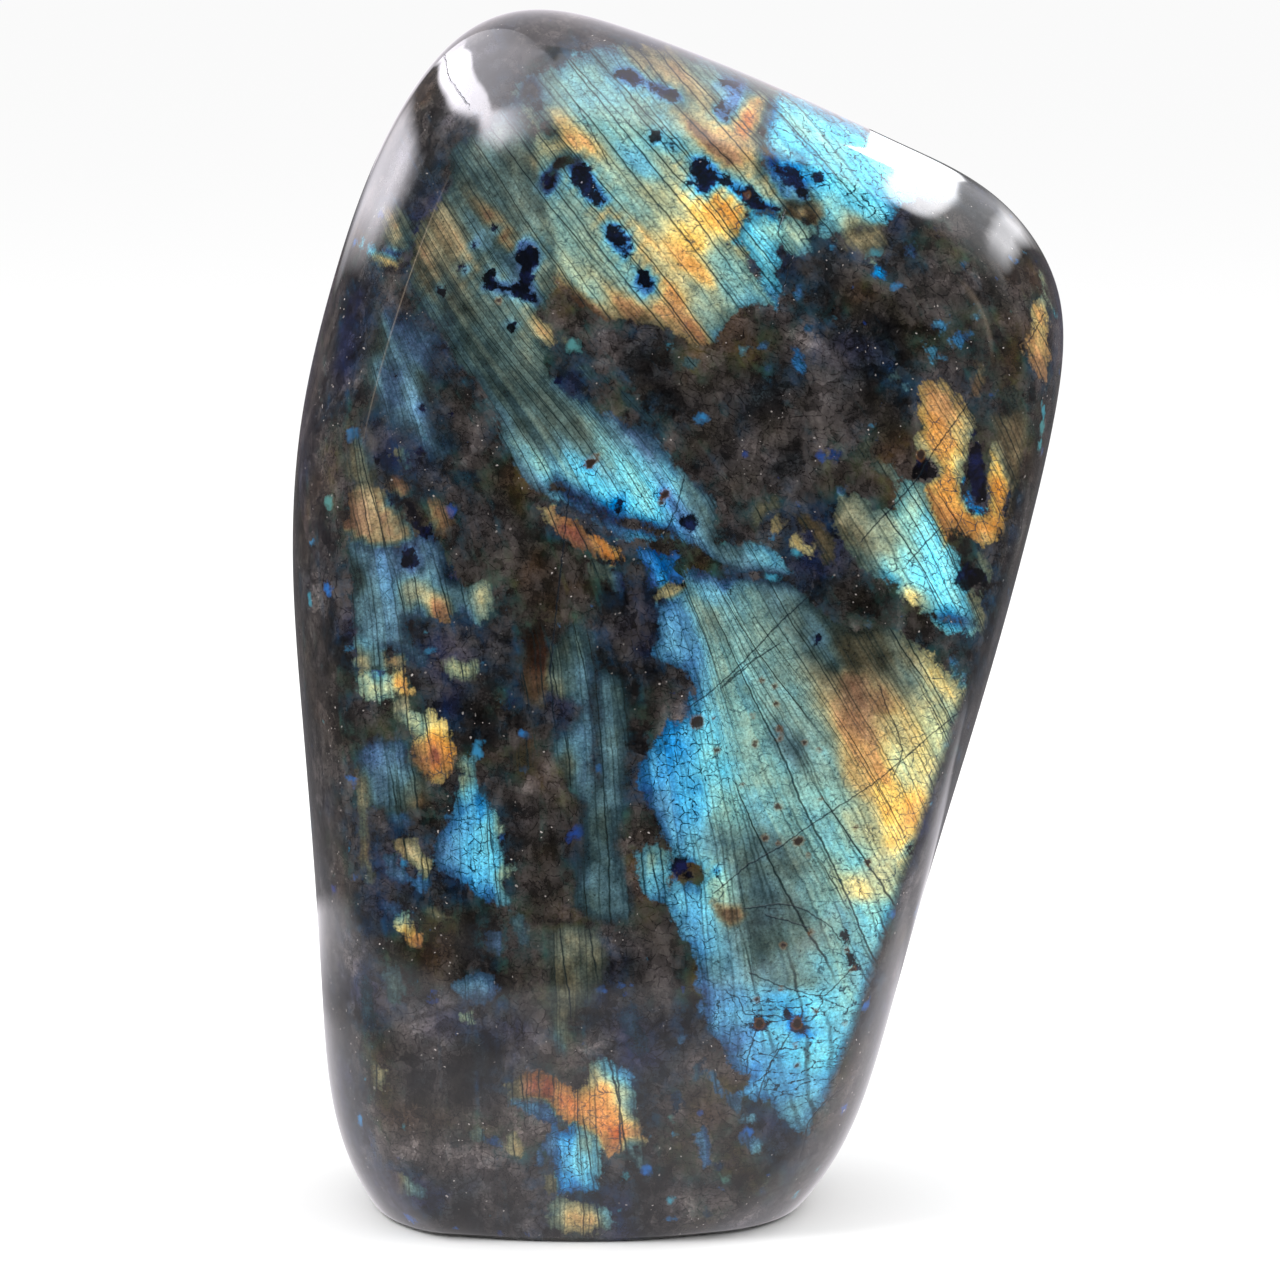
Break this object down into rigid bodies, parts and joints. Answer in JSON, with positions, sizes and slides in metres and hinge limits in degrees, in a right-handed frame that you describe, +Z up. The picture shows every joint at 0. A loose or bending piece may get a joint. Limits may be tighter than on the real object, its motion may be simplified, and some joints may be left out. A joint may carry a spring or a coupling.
{
  "type": "labradorite freeform",
  "caption": "Polished dark feldspar block with a free outline and broad flat faces, standing upright on a flat ground foot as an ornament.",
  "frame": {"origin": "middle of the ground foot's plane, under the middle of the block's box", "axes": "+Z up through the standing block, -Y out of the show face, +X to the right as the show face is seen"},
  "size_m": [0.1605, 0.0902, 0.2512],
  "materials": {
    "polished_labradorite": "high polish; dark charcoal body with blue, teal and gold flashes"
  },
  "bodies": {
    "root": {"stone": "polished_labradorite"}
  },
  "joints": []
}
